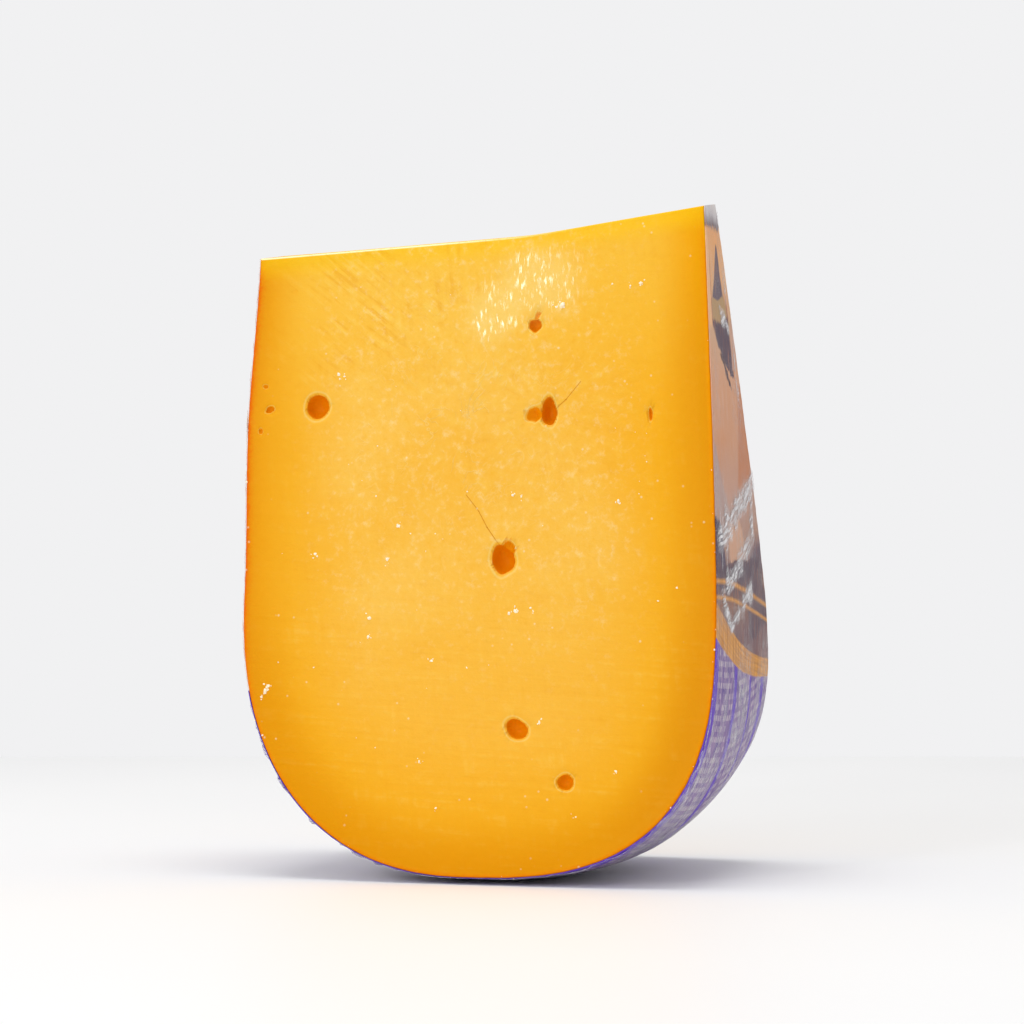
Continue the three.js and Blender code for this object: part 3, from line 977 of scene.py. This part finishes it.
def label_material():
    """A printed label of abstract soft shapes, thin gold lines and a gold band, and a purple
    border round the rim with stripes and rows of plain blocks."""
    material, shader, mm = new_material("printed_label")
    run, radius, bearing = mm.named("run"), mm.named("radius"), mm.named("bearing")
    around = bearing * radius * math.radians(1)
    brushed = mm.vector(around / 1.1, run / 11, 2.0).noise(4, 0.6)
    wander = (mm.times(0.09, 0.09, 0.09).noise(3, 0.6) - 0.5) * 5 + (brushed - 0.5) * 3

    drift = radius + wander
    colour = drift.ramp([(r, tone(*c, LABEL_GAIN)) for r, c in LABEL_BY_RADIUS], 140.0)
    for start, end, angle, end_angle, width, end_width, shade, strength in LABEL_SHAPES:
        share = (drift - start) / (end - start)
        off = abs(bearing + wander * 0.35 - angle - share * (end_angle - angle))
        shape = (off / (width + share * (end_width - width))).step(1.12, 0.86)
        shape = shape * share.step(-0.04, 0.04) * share.step(1.04, 0.96)
        colour = (shape * strength).mix(colour, tone(*shade, LABEL_GAIN))
    stripe = bearing.step(3.6, 4.4) * radius.step(57, 55) * radius.step(32.5, 33.5)
    colour = (stripe * 0.9).mix(colour, tone(232, 182, 134, LABEL_GAIN))
    crimson = (bearing - 3.9 + wander * 0.1).bell(0, 0.5) * radius.step(38, 42) * radius.step(57, 54)
    crimson = crimson + (bearing + 12.5 + wander * 0.5).bell(0, 0.6) * radius.bell(52, 6)
    colour = (crimson.math("MINIMUM", crimson, 1.0) * 0.8).mix(colour, tone(150, 52, 66, LABEL_GAIN))
    colour = (brushed.step(0.5, 0.75) * 0.4).mix(colour, tone(208, 136, 88, LABEL_GAIN))
    colour = (brushed.step(0.46, 0.25) * 0.2).mix(colour, tone(214, 200, 194, LABEL_GAIN))

    turned = 8.5 - bearing
    line = radius - 115.9 + 0.2735 * turned - 0.0284 * turned * turned + wander * 0.12
    lines = line.bell(0, 1.1) + (line - 3.8).bell(0, 0.9)
    gold = brushed.step(0.3, 0.7).mix(tone(190, 128, 62, LABEL_GAIN), tone(226, 168, 92, LABEL_GAIN))
    colour = (lines.math("MINIMUM", lines, 1.0) * 0.9).mix(colour, gold)
    across = radius + bearing * 0.79 + wander * 0.15
    threads = across.vector(across / 0.55, bearing / 9, 3.0).noise(3, 0.6).step(0.58, 0.4)
    colour = across.step(126.9, 127.5).mix(colour, gold)
    colour = (across.step(126.9, 127.5) * threads * 0.4).mix(colour, tone(150, 104, 76, LABEL_GAIN))

    border = (radius + bearing * 0.6375 + wander * 0.2).step(133.8, 134.4)
    purple = mm.vector(around / 1.6, run / 4.5, 6.0).noise(4, 0.65).step(0.3, 0.7)
    shade = purple.mix(tone(106, 88, 146, LABEL_GAIN), tone(160, 138, 170, LABEL_GAIN))
    colour = border.mix(colour, shade)
    row = run / ROW_SPACING
    row_fill = row.math("FRACT", row).bell(0.5, 0.5).step(0.35, 0.6)
    slot = around / BLOCK_SPACING + row.math("FLOOR", row) * 0.37 + wander * 0.12
    slot_fill = slot.math("FRACT", slot).bell(0.5, 0.5).step(0.12, 0.35)
    cell = mm.vector(row.math("FLOOR", row), slot.math("FLOOR", slot))
    chosen = cell.node("TexWhiteNoise", {"Vector": cell}, 0).step(0.3, 0.32)
    blocks = row_fill * slot_fill * chosen * (0.35 + 0.65 * purple)
    colour = (blocks * border * 0.62).mix(colour, tone(216, 206, 202, LABEL_GAIN))
    for middle, half_width in BORDER_STRIPES:
        band = (bearing - middle).bell(0, half_width).step(0.1, 0.4)
        colour = (band * border * 0.9).mix(colour, tone(98, 62, 184, LABEL_GAIN))

    grain = mm.times(3, 3, 3).noise(3, 0.7)
    fill(shader, {
        "Base Color": colour,
        "Roughness": 0.5,
        "Specular IOR Level": 0.03,
        "Normal": mm.bump(grain * 0.02),
    })
    return material


def film_material():
    """Clear film: almost nothing where it lies flat, whitish along its creases and ridges, which
    paints their highlights, and denser at grazing angles, which paints a reflection."""
    material, shader, mm = new_material("clear_film")
    crease, run, around = mm.named("crease"), mm.named("run"), mm.named("around")
    lines = mm.vector(around / 0.8, run / 9.0, 1.0).noise(3, 0.6, 0.4)
    ridge = 1 - abs((lines - 0.5) * 2)
    thick = mm.times(0.06, 0.06, 0.06).noise(2).step(0.42, 0.62)
    ridge = ridge.step(0.86, 1.0) * thick.math("MAXIMUM", thick, run.step(96, 60) * 0.7)
    hatch = mm.vector((run + around * 0.4) / 0.6, around / 4.5, 8.0).noise(3, 0.6, 0.8).step(0.44, 0.6)
    white = crease.step(0.2, 0.85) * (0.14 + 0.8 * hatch)
    grazing_reflection = mm.node("LayerWeight", {"Blend": 0.3}, 1) ** 4
    # Painted highlights along the creases and ridges, and a painted reflection at grazing angles.
    alpha = 0.015 + 0.85 * white + (0.12 + 0.5 * run.step(96, 70)) * ridge + 0.05 * grazing_reflection
    fill(shader, {
        "Base Color": tone(250, 248, 250),
        "Roughness": 0.16,
        "IOR": 1.48,
        "Alpha": alpha.math("MINIMUM", alpha, 0.92),
        "Normal": mm.bump(white * 0.03 + ridge * 0.04),
    })
    return material


# ---- Stage --------------------------------------------------------------------------------------

TABLE_REACH = 410.0
VIEW_ANGLE = math.radians(16.09)
CAMERA_PLACE = (240.6, -820.5, 86.0)
LENS = 126.56
SENSOR = 36.0


def make_table():
    """A plain pale slab, square to the camera, with its far edge behind the wedge."""
    corners = np.array([(-1, -1), (1, -1), (1, 1), (-1, 1)]) * TABLE_REACH
    cos, sin = math.cos(VIEW_ANGLE), math.sin(VIEW_ANGLE)
    turned = corners @ np.array([[cos, sin], [-sin, cos]])
    points = np.concatenate([turned, np.full((4, 1), FLOOR_Z - 0.02)], 1) * MM
    mesh = bpy.data.meshes.new("table_top")
    mesh.from_pydata(points.tolist(), [], [(0, 1, 2, 3)])
    table = bpy.data.objects.new("table_top", mesh)
    bpy.context.scene.collection.objects.link(table)
    material, shader, mm = new_material("pale_table")
    colour = mm.times(0.004, 0.004, 0.004).noise(2).mix(tone(235, 235, 236), tone(241, 241, 241))
    fill(shader, {"Base Color": colour, "Roughness": 0.5, "Specular IOR Level": 0.3})
    mesh.materials.append(material)


def make_world(backdrop, ambient):
    """An even backdrop for the camera, and its own strength for the light that it gives."""
    world = bpy.data.worlds.new("studio")
    bpy.context.scene.world = world
    world.use_nodes = True
    nodes = world.node_tree.nodes
    seen = Wire(nodes.new("ShaderNodeLightPath").outputs["Is Camera Ray"])
    shown = seen.node("Background", {"Color": backdrop, "Strength": 1.0})
    light = seen.node("Background", {"Color": (1, 1, 1, 1), "Strength": ambient})
    split = seen.node("MixShader", {0: seen, 1: light, 2: shown})
    fill(nodes["World Output"], {"Surface": split})


def add_light(name, spot, target, size, power):
    """An area light at a place, aimed at another; lengths in millimetres."""
    lamp = bpy.data.lights.new(name, "AREA")
    lamp.shape = "DISK"
    lamp.size = size * MM
    lamp.energy = power
    light = bpy.data.objects.new(name, lamp)
    light.location = Vector(spot) * MM
    light.rotation_euler = (Vector(target) - Vector(spot)).to_track_quat("-Z", "Y").to_euler()
    bpy.context.scene.collection.objects.link(light)


def make_camera():
    lens = bpy.data.cameras.new("camera")
    lens.lens = LENS
    lens.sensor_width = SENSOR
    camera = bpy.data.objects.new("camera", lens)
    camera.location = Vector(CAMERA_PLACE) * MM
    camera.rotation_euler = (math.pi / 2, 0, VIEW_ANGLE)
    bpy.context.scene.collection.objects.link(camera)
    bpy.context.scene.camera = camera


make_cheese(paste_material())
make_crystals(crystal_material())
make_label(label_material())
make_film(film_material())

make_table()
make_world(tone(241, 241, 242), 0.66)
add_light("overhead", (0, -80, 1300), (0, 0, 0), 800, 8)
add_light("front_fill", (-600, -1350, 700), (0, 0, 80), 1100, 5)
add_light("oily_glint", (-330, -1090, 520), (0, -20, 120), 110, 1.4)
make_camera()
bpy.context.scene.view_settings.view_transform = "Standard"
